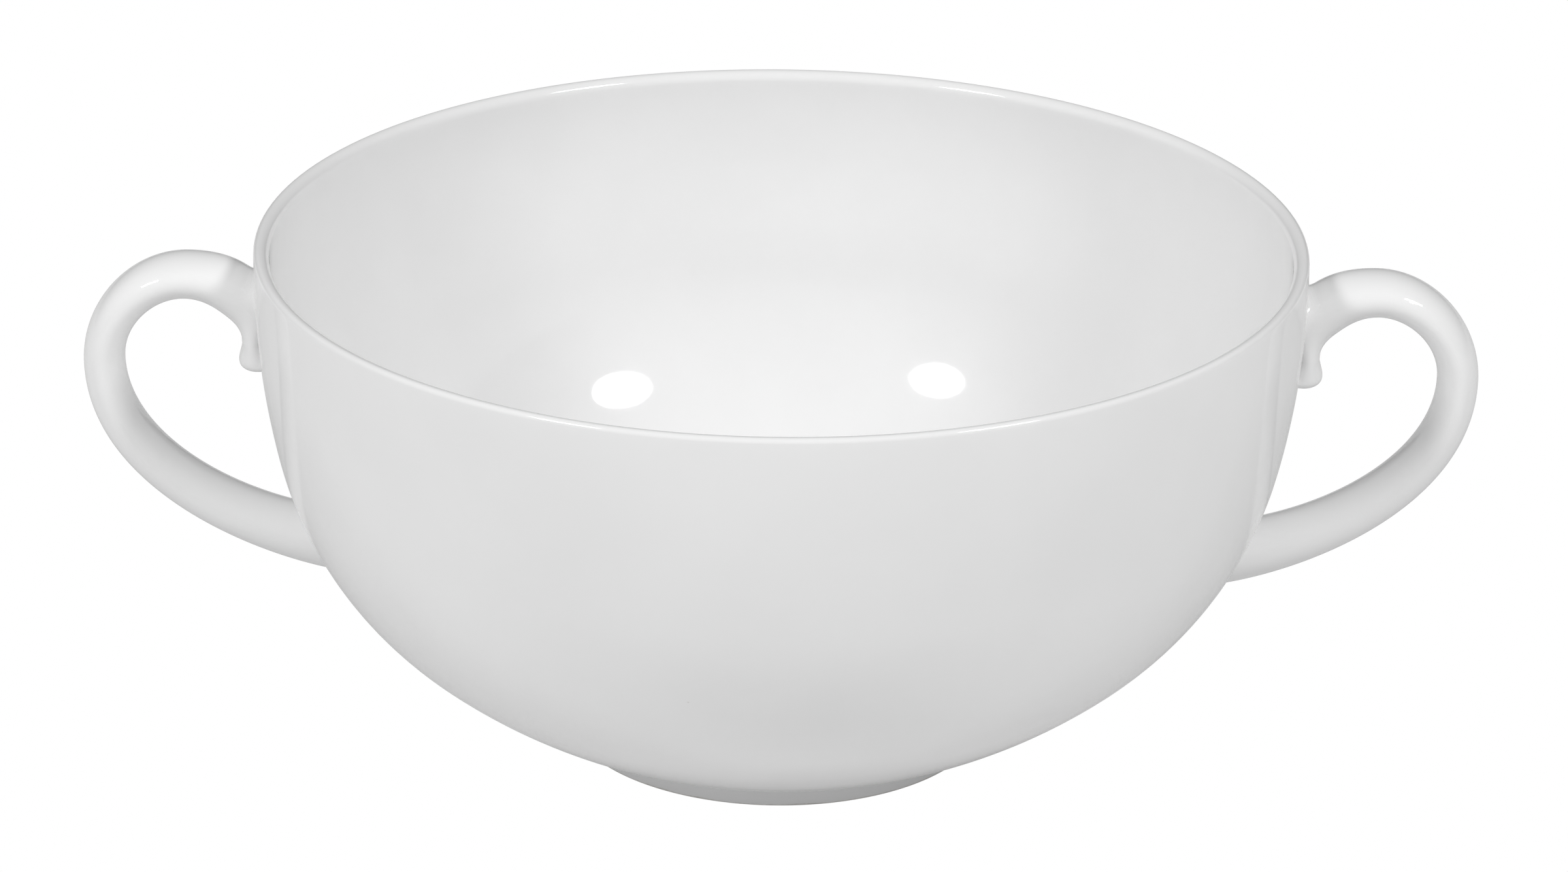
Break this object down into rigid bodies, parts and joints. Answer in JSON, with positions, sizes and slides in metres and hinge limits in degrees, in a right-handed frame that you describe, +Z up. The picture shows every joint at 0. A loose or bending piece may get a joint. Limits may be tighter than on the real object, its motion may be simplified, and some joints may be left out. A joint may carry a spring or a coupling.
{
  "type": "soup cup",
  "caption": "Round white porcelain soup cup with a rounded lip, a loop handle on each side and a low foot ring, for serving and drinking soup.",
  "frame": {"origin": "on the table, under the middle of the foot ring", "axes": "+Z up along the axis of the bowl, +X through the right handle, so the handles lie along X"},
  "size_m": [0.151, 0.113, 0.0564],
  "materials": {
    "glazed_porcelain": "white porcelain under a clear gloss glaze",
    "fired_slip": "white slip fired with the body, under the same glaze"
  },
  "bodies": {
    "root": {"bowl": "glazed_porcelain", "foot_ring": "glazed_porcelain", "foot_slip": "fired_slip", "handle_left": "glazed_porcelain", "handle_right": "glazed_porcelain", "upper_slip_left": "fired_slip", "lower_slip_left": "fired_slip", "upper_slip_right": "fired_slip", "lower_slip_right": "fired_slip"}
  },
  "joints": []
}
